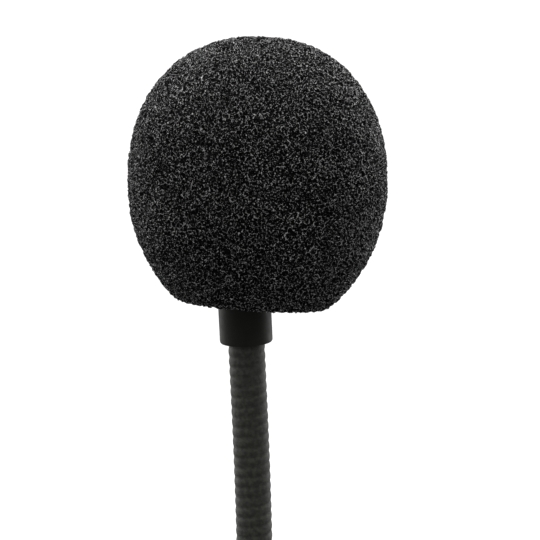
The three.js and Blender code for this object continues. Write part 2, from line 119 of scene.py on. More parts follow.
def new_object(name, points, faces, place=None, sharp=SHARP):
    """A mesh from points in millimetres, in the headset's frame or in place's."""
    points = np.asarray(points, float).reshape(-1, 3)
    if place is not None:
        m = np.array(place)
        points = points @ m[:3, :3].T + m[:3, 3]
    points = (points + np.array(SHIFT)) * MM
    mesh = bpy.data.meshes.new(name)
    mesh.from_pydata(points.tolist(), [], faces)
    mesh.update()
    obj = put_in_scene(name, mesh)
    smooth(obj, sharp)
    outward(obj)
    return obj


def smooth(obj, sharp=SHARP):
    obj.data.shade_smooth()
    obj.data.set_sharp_from_angle(angle=math.radians(sharp))


def round_angles(count):
    return np.linspace(0, math.tau, count, endpoint=False)


def grid_faces(rows, cols, close_rows=False):
    """Quads of rows x cols points, each row closed on itself."""
    r = np.arange(rows if close_rows else rows - 1)[:, None]
    c = np.arange(cols)[None, :]
    r2, c2 = (r + 1) % rows, (c + 1) % cols
    quads = np.stack([
        r * cols + c, r * cols + c2, r2 * cols + c2, r2 * cols + c,
    ], -1)
    return quads.reshape(-1, 4).tolist()


def filleted(corners):
    """Rounds the corners of a polyline given as (a, b) or (a, b, radius)."""
    steps = 5
    count = len(corners)
    out = []
    for i, corner in enumerate(corners):
        radius = corner[2] if len(corner) > 2 else 0
        at = np.array(corner[:2], float)
        if not radius:
            out.append(at)
            continue
        before = np.array(corners[(i - 1) % count][:2], float) - at
        after = np.array(corners[(i + 1) % count][:2], float) - at
        la, lb = np.linalg.norm(before), np.linalg.norm(after)
        u, v = before / la, after / lb
        half = math.acos(np.clip(u @ v, -1, 1)) / 2
        back = min(radius / math.tan(half), 0.49 * la, 0.49 * lb)
        a, b = at + u * back, at + v * back
        for k in range(steps + 1):
            t = k / steps
            out.append((1 - t) ** 2 * a + 2 * t * (1 - t) * at + t * t * b)
    return out


def tip_faces(rows, sides):
    """Fans from the first and last of the rings to the two points after them."""
    low, high = rows * sides, rows * sides + 1
    last = (rows - 1) * sides
    faces = []
    for i in range(sides):
        j = (i + 1) % sides
        faces.append([low, j, i])
        faces.append([high, last + i, last + j])
    return faces


def lathe(name, corners, sides, place):
    """Turns a profile of (radius, height[, fillet]) about Z. It closes on itself
    unless it starts and ends on the axis."""
    profile = np.array(filleted(corners))
    solid = profile[0][0] < 1e-9 and profile[-1][0] < 1e-9
    ring = profile[1:-1] if solid else profile
    angle = round_angles(sides)
    points = np.stack([
        ring[:, :1] * np.cos(angle), ring[:, :1] * np.sin(angle),
        np.repeat(ring[:, 1:], sides, 1),
    ], -1).reshape(-1, 3)
    faces = grid_faces(len(ring), sides, close_rows=not solid)
    if solid:
        points = np.vstack([
            points, [0, 0, profile[0][1]], [0, 0, profile[-1][1]],
        ])
        faces += tip_faces(len(ring), sides)
    return new_object(name, points, faces, place)


def outward(obj):
    """Turns the whole surface outwards if its volume is negative."""
    mesh = obj.data
    mesh.calc_loop_triangles()
    corners = np.zeros(len(mesh.loop_triangles) * 3, np.int64)
    mesh.loop_triangles.foreach_get("vertices", corners)
    at = np.zeros(len(mesh.vertices) * 3)
    mesh.vertices.foreach_get("co", at)
    t = at.reshape(-1, 3)[corners.reshape(-1, 3)]
    if (t[:, 0] * np.cross(t[:, 1], t[:, 2])).sum() < 0:
        mesh.flip_normals()


def combine(obj, other, operation="DIFFERENCE"):
    """Cuts other from obj or joins it to obj, and removes it."""
    tool = obj.modifiers.new("combine", "BOOLEAN")
    tool.operation = operation
    tool.solver = "EXACT"
    tool.object = other
    bake_modifiers(obj)
    bpy.data.objects.remove(other)
    smooth(obj)


def bake_modifiers(obj):
    """Makes what the modifiers show the mesh itself."""
    graph = bpy.context.evaluated_depsgraph_get()
    made = bpy.data.meshes.new_from_object(obj.evaluated_get(graph))
    obj.modifiers.clear()
    old = obj.data
    obj.data = made
    made.name = obj.name
    bpy.data.meshes.remove(old)


def rod(radius, low, high, place, sides=48):
    """A plain cylinder to cut or join with."""
    return lathe(
        "tool", [(0, low), (radius, low), (radius, high), (0, high)], sides, place,
    )


def slab(name, half_x, half_z, y0, y1, corner, edge, place):
    """A block with rounded corners round Y and rounded edges at its two faces."""
    steps = 6
    inset = [(edge, 0.0)]
    for k in range(1, steps + 1):
        a = k / steps * math.pi / 2
        inset.append((edge * (1 - math.sin(a)), edge * (1 - math.cos(a))))
    rows = [(i, y0 + d) for i, d in inset]
    rows += [(i, y1 - d) for i, d in reversed(inset)]
    arc = 8
    points = []
    for cut, y in rows:
        r = max(corner - cut, 0.05)
        x, z = half_x - cut - r, half_z - cut - r
        for q, (sx, sz) in enumerate([(1, 1), (-1, 1), (-1, -1), (1, -1)]):
            for k in range(arc + 1):
                a = (q + k / arc) * math.pi / 2
                points.append((sx * x + r * math.cos(a), y, sz * z + r * math.sin(a)))
    cols = 4 * (arc + 1)
    faces = grid_faces(len(rows), cols)
    faces.append(list(range(cols)))
    faces.append(list(range(len(rows) * cols - 1, (len(rows) - 1) * cols - 1, -1)))
    return new_object(name, points, faces, place)


# ---- curves ----
def unit(rows):
    return rows / np.linalg.norm(rows, axis=1)[:, None]


def centripetal(points):
    """The centripetal Catmull-Rom curve through points, as a dense polyline."""
    per_span = 40
    p = [np.array(q, float) for q in points]
    p = [2 * p[0] - p[1]] + p + [2 * p[-1] - p[-2]]
    out = []
    for i in range(1, len(p) - 2):
        a, b, c, d = p[i - 1:i + 3]
        t0, t1, t2 = (
            np.linalg.norm(v) ** 0.5 for v in (b - a, c - b, d - c)
        )
        m1 = ((b - a) / t0 - (c - a) / (t0 + t1) + (c - b) / t1) * t1
        m2 = ((c - b) / t1 - (d - b) / (t1 + t2) + (d - c) / t2) * t1
        t = np.linspace(0, 1, per_span, endpoint=False)[:, None]
        out.append(
            b + m1 * t + (3 * (c - b) - 2 * m1 - m2) * t ** 2
            + (2 * (b - c) + m1 + m2) * t ** 3
        )
    out.append(p[-2][None])
    return np.vstack(out)


class Line:
    """A polyline read by arc length, with frames that don't twist."""

    def __init__(self, points):
        self.points = np.asarray(points, float)
        steps = np.linalg.norm(np.diff(self.points, axis=0), axis=1)
        self.at = np.concatenate([[0], np.cumsum(steps)])
        self.length = float(self.at[-1])
        self.tangent = unit(np.gradient(self.points, self.at, axis=0))
        side = np.zeros_like(self.points)
        first = np.array([1.0, 0, 0])
        if abs(self.tangent[0][0]) > 0.9:
            first = np.array([0, 1.0, 0])
        for i, t in enumerate(self.tangent):
            first = first - (first @ t) * t
            first /= np.linalg.norm(first)
            side[i] = first
        self.side = side

    def read(self, s):
        """Points, side vectors and up vectors at the arc lengths s."""
        s = np.asarray(s, float)
        inside = np.clip(s, 0, self.length)

        def pick(rows):
            columns = [np.interp(inside, self.at, rows[:, k]) for k in range(3)]
            return np.stack(columns, 1)

        point, side = pick(self.points), pick(self.side)
        tangent = unit(pick(self.tangent))
        side = unit(side - (side * tangent).sum(1)[:, None] * tangent)
        point = point + tangent * (s - inside)[:, None]
        return point, side, np.cross(tangent, side)


def sweep(name, line, profile, sides, sharp=SHARP):
    """A solid of revolution bent along a line: profile is (arc length, radius).
    It closes on itself unless it starts and ends with radius 0."""
    profile = np.array(profile, float)
    solid = profile[0][1] < 1e-9
    ring = profile[1:-1] if solid else profile
    point, side, up = line.read(ring[:, 0])
    angle = round_angles(sides)[None, :, None]
    points = point[:, None] + ring[:, 1][:, None, None] * (
        side[:, None] * np.cos(angle) + up[:, None] * np.sin(angle)
    )
    points = points.reshape(-1, 3)
    faces = grid_faces(len(ring), sides, close_rows=not solid)
    if solid:
        ends = line.read([profile[0][0], profile[-1][0]])[0]
        points = np.vstack([points, ends])
        faces += tip_faces(len(ring), sides)
    return new_object(name, points, faces, None, sharp)


def spaced(start, end, step):
    """Evenly spaced numbers from start to end, about step apart."""
    return np.linspace(start, end, max(2, int(abs(end - start) / step) + 1))


def wire_profile(start, end, radius, step, chamfer=0.25):
    """The profile of a round wire with chamfered ends, for sweep."""
    body = [(s, radius) for s in spaced(start + chamfer, end - chamfer, step)]
    return (
        [(start, 0), (start, radius - chamfer)] + body
        + [(end, radius - chamfer), (end, 0)]
    )


# ---- materials ----
RANGE_SOCKETS = ("From Min", "From Max", "To Min", "To Max")


class Shade:
    """A node material built up from a Principled shader."""

    def __init__(self, name, coords="object"):
        self.material = bpy.data.materials.new(name)
        self.material.use_nodes = True
        self.tree = self.material.node_tree
        self.shader = self.tree.nodes["Principled BSDF"]
        if coords == "object":
            self.coords = self.node("ShaderNodeTexCoord").outputs["Object"]
        else:
            rest = self.node("ShaderNodeAttribute")
            rest.attribute_name = coords
            self.coords = rest.outputs["Vector"]

    def node(self, kind, **settings):
        made = self.tree.nodes.new(kind)
        for key, value in settings.items():
            setattr(made, key, value)
        return made

    def link(self, source, target):
        self.tree.links.new(source, target)

    def set(self, **values):
        for key, value in values.items():
            self.shader.inputs[key.replace("_", " ")].default_value = value

    def noise(self, size_mm, detail=3.0, rough=0.55):
        """Noise from 0 to 1 whose features are about size_mm across."""
        made = self.node("ShaderNodeTexNoise")
        made.inputs["Scale"].default_value = 1 / (size_mm * MM)
        made.inputs["Detail"].default_value = detail
        made.inputs["Roughness"].default_value = rough
        self.link(self.coords, made.inputs["Vector"])
        return made.outputs["Fac"]

    def cells(self, size_mm, feature, randomness=1.0):
        """Distances in a pattern of cells that are size_mm across."""
        made = self.node("ShaderNodeTexVoronoi", feature=feature)
        made.inputs["Scale"].default_value = 1 / (size_mm * MM)
        made.inputs["Randomness"].default_value = randomness
        self.link(self.coords, made.inputs["Vector"])
        return made.outputs["Distance"]

    def ramp(self, value, low, high, to_low=0.0, to_high=1.0):
        """Takes low to high smoothly to to_low to to_high."""
        made = self.node("ShaderNodeMapRange", interpolation_type="SMOOTHSTEP")
        for key, number in zip(RANGE_SOCKETS, (low, high, to_low, to_high)):
            made.inputs[key].default_value = number
        self.link(value, made.inputs["Value"])
        return made.outputs["Result"]

    def math(self, operation, a, b):
        made = self.node("ShaderNodeMath", operation=operation)
        self.link(a, made.inputs[0])
        self.link(b, made.inputs[1])
        return made.outputs[0]

    def mix(self, factor, first, second):
        """A blend of two colours, from first at factor 0 to second at 1."""
        made = self.node("ShaderNodeMix", data_type="RGBA")
        self.link(factor, made.inputs["Factor"])
        for key, value in (("A", first), ("B", second)):
            socket = [
                s for s in made.inputs if s.name == key and s.type == "RGBA"
            ][0]
            socket.default_value = (*value, 1)
        return [s for s in made.outputs if s.type == "RGBA"][0]

    def color(self, source):
        self.link(source, self.shader.inputs["Base Color"])

    def roughness(self, source):
        self.link(source, self.shader.inputs["Roughness"])

    def bump(self, height, distance_mm):
        made = self.node("ShaderNodeBump")
        made.inputs["Distance"].default_value = distance_mm * MM
        self.link(height, made.inputs["Height"])
        self.link(made.outputs["Normal"], self.shader.inputs["Normal"])


def grey(level):
    return (level, level, level)


def moulded(
    name, dark, light, rough, grain_mm=0.25, grain=0.012, coords="object",
    specular=0.5, blotch_mm=6.0,
):
    """Moulded plastic or rubber: a fine grain, faint mottling and handling marks."""
    s = Shade(name, coords)
    blotch = s.ramp(s.noise(blotch_mm, 3), 0.35, 0.7)
    s.color(s.mix(blotch, dark, light))
    worn = s.ramp(s.noise(1.6, 4, 0.65), 0.3, 0.75, rough - 0.06, rough + 0.08)
    s.roughness(worn)
    s.bump(s.noise(grain_mm, 2), grain)
    s.set(Specular_IOR_Level=specular)
    return s.material


def metal(name, dark, light, rough):
    """Satin metal with fine marks."""
    s = Shade(name)
    s.set(Metallic=1.0)
    marks = s.noise(0.5, 5, 0.7)
    s.color(s.mix(s.ramp(s.noise(2.5, 3), 0.3, 0.75), dark, light))
    s.roughness(s.ramp(marks, 0.25, 0.8, rough - 0.07, rough + 0.1))
    s.bump(marks, 0.004)
    return s.material


def foam_material():
    """Glossy black struts round dark open cells. The base colour paints near-white
    highlights on short lengths of the mesh's own struts, and of finer strands between
    them, with the foam's own near-black elsewhere."""
    s = Shade("foam", "foam_rest")
    strut = s.node("ShaderNodeAttribute", attribute_name="strut").outputs["Fac"]
    spark = s.node("ShaderNodeAttribute", attribute_name="spark").outputs["Fac"]
    # painted highlights on the struts: near-white along their ridges, stronger on some
    # struts than others, broken into short lengths
    ridge = s.ramp(strut, 0.72, 0.95)
    lively = s.ramp(spark, 0.4, 0.75, 0.04, 1.0)
    broken = s.ramp(s.noise(0.17, 1, 0.5), 0.50, 0.59, 0.0, 1.2)
    painted_strut_highlight = s.math("MULTIPLY", s.math("MULTIPLY", ridge, lively), broken)
    # painted highlights on finer strands: stronger on raised parts, weaker down in the
    # pits, so the pits also get painted shade
    strand = s.ramp(s.cells(0.40, "DISTANCE_TO_EDGE"), 0.025, 0.085, 1.0, 0.0)
    patchy = s.ramp(s.noise(0.22, 1, 0.5), 0.525, 0.61)
    raised = s.ramp(strut, 0.0, 0.5, 0.55, 1.1)
    painted_strand_highlight = s.math("MULTIPLY", s.math("MULTIPLY", strand, patchy), raised)
    painted_highlight = s.math("MAXIMUM", painted_strut_highlight, painted_strand_highlight)
    # painted highlight: the base colour goes from the foam's near-black to near-white
    # where light would catch it
    s.color(s.mix(painted_highlight, grey(0.0006), grey(0.95)))
    s.roughness(s.ramp(s.noise(0.5, 2), 0.3, 0.7, 0.42, 0.62))
    s.bump(painted_highlight, 0.06)
    s.set(Specular_IOR_Level=0.05)
    return s.material


# ---- windscreen ----
FOAM_R, FOAM_UP, FOAM_DOWN, FOAM_CUT = 17.5, 19.5, 20.5, 16.6
TOP_POWER = 2.2  # of the upper half's superellipse, where 2 is an ellipse
RIM_POWER = 120  # the higher, the sharper the edge of the cut underside
FOAM_TILT = math.radians(4.0)  # the cut underside is lower on the outer side
FOAM_AT = Vector((1.55, -1.0, 22.0))  # from the middle of the housing's lip
FOAM_MIDDLE = HEAD.to_translation() + FOAM_AT
UNDERSIDE = np.array((-math.sin(FOAM_TILT), 0.0, -math.cos(FOAM_TILT)))
HOUSING_R = 3.62
BORE_R, BORE_END = 3.68, 18.2
BORE_ROUND = 0.6  # height of the rounding at its closed end
BORE_RINGS = 8
MOUTH_POINTS = 48
MOUTH_CALM = 0.9  # width of the band round the mouth with no relief
CELLS = 10500
CELLS_SPARE = 400  # enough for the mouth's share
RELAX_PASSES = 3
CELL_DEEP = 0.30
STRUT_DEEP = 0.10
STRUT_SHARE = 0.30  # of a cell's radius
JOINT_HEIGHTS = (-0.17, 0.15)  # of the corners where three struts meet


def foam_reach(way):
    """Distance from the foam's middle to its smooth surface, along unit vectors."""
    across = np.hypot(way[:, 0], way[:, 1])
    up = way[:, 2]
    top = (across / FOAM_R) ** TOP_POWER + (np.abs(up) / FOAM_UP) ** TOP_POWER
    top = top ** (-1 / TOP_POWER)
    low = ((across / FOAM_R) ** 2 + (up / FOAM_DOWN) ** 2) ** -0.5
    reach = np.where(up > 0, top, low)
    never_zero = 0.05
    plane = FOAM_CUT * math.cos(FOAM_TILT) / np.maximum(way @ UNDERSIDE, never_zero)
    return (reach ** -RIM_POWER + plane ** -RIM_POWER) ** (-1 / RIM_POWER)


def bore_mouth():
    """The bore's mouth on the underside, its ring level with the housing's lip,
    both as points round the foam's middle, and its axis."""
    turn = np.array(HEAD.to_3x3())
    angle = round_angles(MOUTH_POINTS)
    ring = np.stack([
        BORE_R * np.cos(angle), BORE_R * np.sin(angle), np.zeros(MOUTH_POINTS),
    ], 1) @ turn.T - np.array(FOAM_AT)
    axis = turn[:, 2]
    depth = FOAM_CUT * math.cos(FOAM_TILT)
    rise = (depth - ring @ UNDERSIDE) / (axis @ UNDERSIDE)
    return ring + axis * rise[:, None], ring, axis


def add_corners(total, triangles, values):
    """Adds each triangle's value to the total at each of its corners."""
    for c in range(3):
        np.add.at(total, triangles[:, c], values)


def facings(corner):
    """Each triangle's normal, twice as long as its area."""
    return np.cross(corner[:, 1] - corner[:, 0], corner[:, 2] - corner[:, 0])


def scattered_cells(mouth, rng):
    """Directions scattered evenly over the foam outside the mouth, the same with
    the mouth's own after them, and the triangles that join these."""
    rim = unit(mouth)
    pole = unit(rim.mean(0)[None])[0]
    side = np.cross(pole, (1.0, 0.0, 0.0))
    side /= np.linalg.norm(side)
    other = np.cross(pole, side)
    way = unit(rng.normal(size=(CELLS + CELLS_SPARE, 3)))
    edge = (rim @ pole).min()
    clear = 0.02
    way = way[way @ pole < math.cos(math.acos(edge) + clear)][:CELLS]
    for k in range(RELAX_PASSES + 1):
        every = np.vstack([way, rim])
        # seen from the pole, the sphere is laid out flat
        flat = np.stack([every @ side, every @ other], 1)
        flat = flat / (1 - every @ pole)[:, None]
        flat = [Vector(p) for p in flat.tolist()]
        triangles = np.array(delaunay_2d_cdt(flat, [], [], 0, 1e-9, False)[2])
        place = every * foam_reach(every)[:, None]
        corner = place[triangles]
        facing = facings(corner)
        back = (facing * corner[:, 0]).sum(1) < 0
        triangles[back] = triangles[back][:, ::-1]
        if k == RELAX_PASSES:
            break
        area = np.linalg.norm(facing, axis=1)
        total, weight = np.zeros_like(place), np.zeros(len(place))
        add_corners(total, triangles, corner.mean(1) * area[:, None])
        add_corners(weight, triangles, area)
        way = unit((total / weight[:, None])[:len(way)])
    return way, every, triangles


def half_edges(triangles, count):
    """Each triangle's edges a to b: their starts and ends, the edge that runs the
    other way, and where there is one."""
    start = triangles.ravel()
    end = np.roll(triangles, -1, axis=1).ravel()
    key = start.astype(np.int64) * count + end
    other_key = end.astype(np.int64) * count + start
    order = np.argsort(key)
    spot = np.minimum(np.searchsorted(key[order], other_key), len(key) - 1)
    twin = order[spot]
    return start, end, twin, key[twin] == other_key


def bore_rings(mouth, ring, axis):
    """The bore's rings above its mouth, and the point that closes it."""
    rings = []
    climb = (mouth - ring) @ axis
    for t in np.linspace(0, 1, BORE_RINGS + 1)[1:]:
        rise = climb + (BORE_END - BORE_ROUND - climb) * t
        rings.append(ring + axis * rise[:, None])
    centre = -np.array(FOAM_AT)
    rings.append(centre + (ring - centre) * 0.86 + axis * (BORE_END - 0.1))
    rings.append((centre + axis * BORE_END)[None])
    return rings


def foam_mesh():
    """Open cells: a ridge of struts round each one, and a pit inside it. Gives
    the points and faces, how much of a strut each point is, how strong each
    strut's painted highlight is, and the bore's first point."""
    rng = np.random.default_rng(11)
    mouth, bore_ring, axis = bore_mouth()
    inner, way, triangles = scattered_cells(mouth, rng)
    cells, count, n = len(inner), len(triangles), MOUTH_POINTS
    place = way * foam_reach(way)[:, None]
    place[cells:] = mouth
    corner = place[triangles]
    normal = np.zeros_like(place)
    add_corners(normal, triangles, facings(corner))
    normal = unit(normal)
    # a joint of three struts in the middle of each triangle
    joint_way = unit(way[triangles].mean(1))
    joint = joint_way * foam_reach(joint_way)[:, None]
    joint_normal = unit(normal[triangles].sum(1))
    near = np.linalg.norm(joint - mouth.mean(0), axis=1) < BORE_R + MOUTH_CALM
    height = rng.uniform(*JOINT_HEIGHTS, count) * ~near
    joint_at = joint + joint_normal * height[:, None]
    # a point inside each of the three cells that meet there, below the struts
    deep = STRUT_DEEP * rng.uniform(0.6, 1.4, (count, 3))
    share = STRUT_SHARE * rng.uniform(0.8, 1.25, (count, 3))
    inside = corner * share[..., None] + joint[:, None] * (1 - share)[..., None]
    inside -= joint_normal[:, None] * deep[..., None]
    pit_deep = CELL_DEEP * rng.uniform(0.6, 1.3, cells)
    pit = place[:cells] - normal[:cells] * pit_deep[:, None]
    tube = bore_rings(mouth, bore_ring, axis)
    points = np.vstack([pit, mouth, joint_at, inside.reshape(-1, 3)] + tube)
    joint_0 = cells + n
    inside_0 = joint_0 + count
    tube_0 = inside_0 + 3 * count

    start, end, twin, paired = half_edges(triangles, cells + n)
    here = np.repeat(np.arange(count), 3)
    slot = np.arange(3 * count)
    # round an edge's start, the twin's triangle comes just before this one
    twin_corner = (twin // 3) * 3 + (twin % 3 + 1) % 3
    is_cell = start < cells
    a = paired & is_cell
    b = paired & ~is_cell
    c = ~paired
    strut_sides = np.stack([
        inside_0 + twin_corner[a], joint_0 + twin[a] // 3, joint_0 + here[a],
        inside_0 + slot[a],
    ], 1)
    pit_fans = np.stack([start[a], inside_0 + twin_corner[a], inside_0 + slot[a]], 1)
    mouth_fans = np.stack([start[b], joint_0 + twin[b] // 3, joint_0 + here[b]], 1)
    mouth_edges = np.stack([start[c], end[c], joint_0 + here[c]], 1)
    ring = np.arange(n)
    first, second = ring, (ring + 1) % n
    if ((start[c] == cells) & (end[c] == cells + 1)).any():
        first, second = second, first
    bases = [cells] + [tube_0 + k * n for k in range(BORE_RINGS + 1)]
    tip = np.full(n, tube_0 + (BORE_RINGS + 1) * n)
    faces = [strut_sides, pit_fans, mouth_fans, mouth_edges]
    faces.append(np.stack([bases[-1] + first, bases[-1] + second, tip], 1))
    for low, high in zip(bases, bases[1:]):
        faces.append(np.stack([
            low + first, low + second, high + second, high + first,
        ], 1))
    faces = sum((f.tolist() for f in faces), [])

    bore = (BORE_RINGS + 1) * n + 1
    strut = np.concatenate([
        np.zeros(cells), np.full(n, 0.5), np.ones(count), np.full(3 * count, 0.2),
        np.zeros(bore),
    ])
    # how strong the painted highlight is on each strut, with fixed strengths for the
    # pits, mouth and bore
    spark = rng.uniform(0, 1, count)
    spark = np.concatenate([
        np.full(cells + n, 0.4), spark, np.repeat(spark, 3), np.full(bore, 0.3),
    ])
    return points, faces, strut, spark, tube_0


def smooth_noise(points, size, seed):
    """Smooth noise from a sum of random waves, about -1 to 1."""
    rng = np.random.default_rng(seed)
    total = np.zeros(len(points))
    waves = 14
    for _ in range(waves):
        k = rng.normal(size=3)
        k *= math.tau / size / np.linalg.norm(k) * rng.uniform(0.7, 1.3)
        total += np.sin(points @ k + rng.uniform(0, math.tau))
    return total / math.sqrt(waves / 2) / 2


def store(obj, name, values):
    """Keeps a number for each point as an attribute that materials read."""
    made = obj.data.attributes.new(name, "FLOAT", "POINT")
    made.data.foreach_set("value", np.asarray(values, np.float32))


def remember_rest(obj, layer="rest"):
    """Keeps each point's place as an attribute that materials read."""
    at = np.zeros(len(obj.data.vertices) * 3, np.float32)
    obj.data.vertices.foreach_get("co", at)
    made = obj.data.attributes.new(layer, "FLOAT_VECTOR", "POINT")
    made.data.foreach_set("vector", at)


def make_windscreen():
    points, faces, strut, spark, tube_0 = foam_mesh()
    skin = points[:tube_0]
    swell = 0.06 * smooth_noise(skin, 9, 3) + 0.04 * smooth_noise(skin, 2.6, 4)
    # none at the bore's mouth, and all of it 2.3 mm away or above the underside
    away = np.linalg.norm(skin[:, :2] - points[tube_0:, :2].mean(0), axis=1)
    above = skin[:, 2] > -10
    swell *= np.where(above, 1, np.clip((away - BORE_R - 0.8) / 1.5, 0, 1))
    points[:tube_0] += unit(skin) * swell[:, None]
    foam = new_object("windscreen_foam", points, faces, moved(*FOAM_MIDDLE), 180)
    store(foam, "strut", strut)
    store(foam, "spark", spark)
    remember_rest(foam, "foam_rest")
    foam.data.materials.append(foam_material())
    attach(foam, "windscreen")
    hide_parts("foam_windscreen")


# ---- shared finishes ----
PLASTIC = moulded(
    "black_plastic", grey(0.006), (0.012, 0.012, 0.0115), 0.42, 0.22, 0.022,
    specular=0.45,
)
COLLAR = moulded(
    "collar_plastic", (0.015, 0.015, 0.0125), (0.021, 0.021, 0.0175), 0.5, 0.12, 0.006,
    specular=0.2,
)
RUBBER = moulded(
    "black_rubber", (0.014, 0.014, 0.013), (0.022, 0.022, 0.020), 0.62, 0.18, 0.02,
)
SHEATH = moulded(
    "sheath_rubber", (0.030, 0.030, 0.0250), (0.062, 0.062, 0.0525), 0.56, 0.14, 0.012,
    "rest", 0.36, blotch_mm=0.6,
)
LEAD = moulded("lead_jacket", grey(0.01), grey(0.016), 0.5, coords="rest")
WIRE = moulded(
    "wire_coating", grey(0.007), grey(0.012), 0.32, 0.4, 0.006, coords="rest",
)
NYLON = moulded("nylon", (0.58, 0.55, 0.47), (0.68, 0.65, 0.57), 0.5)
BOARD = moulded("circuit_board", (0.02, 0.1, 0.035), (0.03, 0.14, 0.05), 0.4)
STEEL = metal("satin_steel", (0.36, 0.36, 0.37), (0.5, 0.5, 0.5), 0.3)
BRASS = metal("brass", (0.42, 0.27, 0.09), (0.52, 0.36, 0.14), 0.3)
ALUMINIUM = metal("aluminium", (0.5, 0.5, 0.52), (0.64, 0.64, 0.66), 0.3)


def cloth_material():
    s = Shade("grille_cloth")
    along, across = (
        s.node("ShaderNodeTexWave", wave_type="BANDS", bands_direction=way)
        for way in "XY"
    )
    for made in (along, across):
        made.inputs["Scale"].default_value = 1 / (0.9 * MM)
        made.inputs["Distortion"].default_value = 0.4
        s.link(s.coords, made.inputs["Vector"])
    weave = s.math("MULTIPLY", along.outputs["Fac"], across.outputs["Fac"])
    s.color(s.mix(weave, grey(0.008), grey(0.05)))
    s.set(Roughness=0.9)
    s.bump(weave, 0.03)
    return s.material


def pad_material():
    s = Shade("pad_silicone")
    mottle = s.ramp(s.noise(3.0, 3), 0.3, 0.7)
    s.color(s.mix(mottle, grey(0.012), (0.02, 0.02, 0.0195)))
    s.roughness(s.ramp(s.noise(0.8, 3), 0.3, 0.7, 0.55, 0.72))
    s.bump(s.cells(0.35, "F1", 0.9), 0.03)
    return s.material


CLOTH = cloth_material()
PAD = pad_material()
SLOT_FINISH = {
    "black_plastic": PLASTIC, "black_rubber": RUBBER, "steel": STEEL, "brass": BRASS,
    "aluminium": ALUMINIUM, "nylon": NYLON, "circuit_board": BOARD, "cloth": CLOTH,
    "black_wire": PLASTIC, "foam": RUBBER,
}


def finish_cad_nodes():
    """Gives every carried-over CAD node its material and smooth shading."""
    slots = {e["node"]: e["material_slot"] for e in frame["record"]["subparts"]}
    for name, obj in frame["nodes"].items():
        obj.data.materials.clear()
        obj.data.materials.append(SLOT_FINISH[slots[name]])
        smooth(obj, 32)


def keep(obj, material, body, slot, *nodes):
    """Finishes a piece that rides on one body and stands for CAD nodes."""
    obj.data.materials.clear()
    obj.data.materials.append(material)
    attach(obj, body)
    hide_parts(*nodes)


# ---- capsule head ----
def make_head():
    housing = lathe("housing_collar", [
        (2.55, 0, 0.12), (HOUSING_R, 0, 0.42), (HOUSING_R, 16, 0.25), (3.05, 16),
        (3.05, 8.9), (2.55, 8.9),
    ], 128, HEAD)
    keep(housing, COLLAR, "mic_head", "black_plastic", "capsule_housing")
    grille = lathe("grille_cap", [
        (0, 15.9), (2.9, 15.9), (2.9, 16.3), (3.45, 16.3, 0.1), (3.45, 16.8, 0.25),
        (3, 17.2, 0.4), (1.6, 17.5, 1), (0, 17.6),
    ], 96, HEAD)
    places = [(0, 0)] + [
        (1.7 * math.cos(i * math.pi / 3), 1.7 * math.sin(i * math.pi / 3))
        for i in range(6)
    ]
    for x, y in places:
        hole = rod(0.46, 15, 18, HEAD @ moved(x, y, 0), 32)
        combine(grille, hole)
    keep(grille, COLLAR, "mic_head", "black_plastic", "front_grille")


# ---- gooseneck ----
RIB_PITCH = 1.41
RIB_R = 2.52
RIB_DEEP = 0.09
SHEATH_BORE = 2.1
SHEATH_FROM = 0.35  # from the gooseneck's foot
SHEATH_IN_LIP = 3.2  # how far its end goes into the housing
LEAD_R = 0.5
LEAD_PAST = 8.0  # how far the lead runs past the sheath's end, to the capsule


def neck_line():
    """The smooth middle line of the gooseneck, and where each section's middle is."""
    control = [p.to_translation() for p in NECK] + [HEAD.to_translation()]
    middles = [(a + b) / 2 for a, b in zip(control, control[1:])]
    points = [control[0] * (1 - t) + middles[0] * t for t in np.linspace(0, 1, 30)]
    marks = [len(points) - 1]
    for k in range(1, len(control) - 1):
        a, b, c = middles[k - 1], control[k], middles[k]
        for t in np.linspace(0, 1, 60)[1:]:
            points.append(a * (1 - t) ** 2 + b * (2 * t * (1 - t)) + c * t ** 2)
        marks.append(len(points) - 1)
    axis = (control[-1] - middles[-1]).normalized()
    for d in np.linspace(0, SECTION / 2 + SHEATH_IN_LIP, 30)[1:]:
        points.append(middles[-1] + axis * d)
    line = Line([tuple(p) for p in points])
    return line, [float(line.at[m]) for m in marks]


def sheath_surface(line, s, angle):
    """Points of the ribbed skin at arc lengths s and angles angle."""
    point, side, up = (v.reshape(*s.shape, 3) for v in line.read(s.ravel()))
    turn = angle[..., None]
    radial = side * np.cos(turn) + up * np.sin(turn)
    phase = s / RIB_PITCH - angle / math.tau
    groove = (0.5 - 0.5 * np.cos(math.tau * phase)) ** 1.6
    radius = RIB_R - RIB_DEEP * groove
    return point + radial * radius[..., None]


def sheath_piece(name, line, low, high):
    """A length of ribbed tube between two arc lengths, with true normals."""
    sides = 56
    rows_per_rib = 11
    rows = int(round((high - low) / RIB_PITCH * rows_per_rib))
    s = np.linspace(low, high, rows + 1)
    angle = round_angles(sides)
    grid_s, grid_a = np.meshgrid(s, angle, indexing="ij")
    outer = sheath_surface(line, grid_s, grid_a)
    near = 0.02
    along, around = (
        sheath_surface(line, grid_s + ds, grid_a + da)
        - sheath_surface(line, grid_s - ds, grid_a - da)
        for ds, da in ((near, 0), (0, near))
    )
    normal = np.cross(around, along)
    normal /= np.linalg.norm(normal, axis=-1)[..., None]
    point, side, up = line.read([high, low])
    turn = angle[None, :, None]
    radial = side[:, None] * np.cos(turn) + up[:, None] * np.sin(turn)
    inner = point[:, None] + radial * SHEATH_BORE
    points = np.concatenate([outer.reshape(-1, 3), inner.reshape(-1, 3)])
    faces = grid_faces(rows + 3, sides, close_rows=True)
    obj = new_object(name, points, faces, None, 60)
    normals = np.concatenate([normal.reshape(-1, 3), -radial.reshape(-1, 3)])
    if (normal * (outer - line.read(s)[0][:, None])).sum() < 0:
        normals[: outer.size // 3] *= -1
    obj.data.normals_split_custom_set_from_vertices(normals.tolist())
    return obj


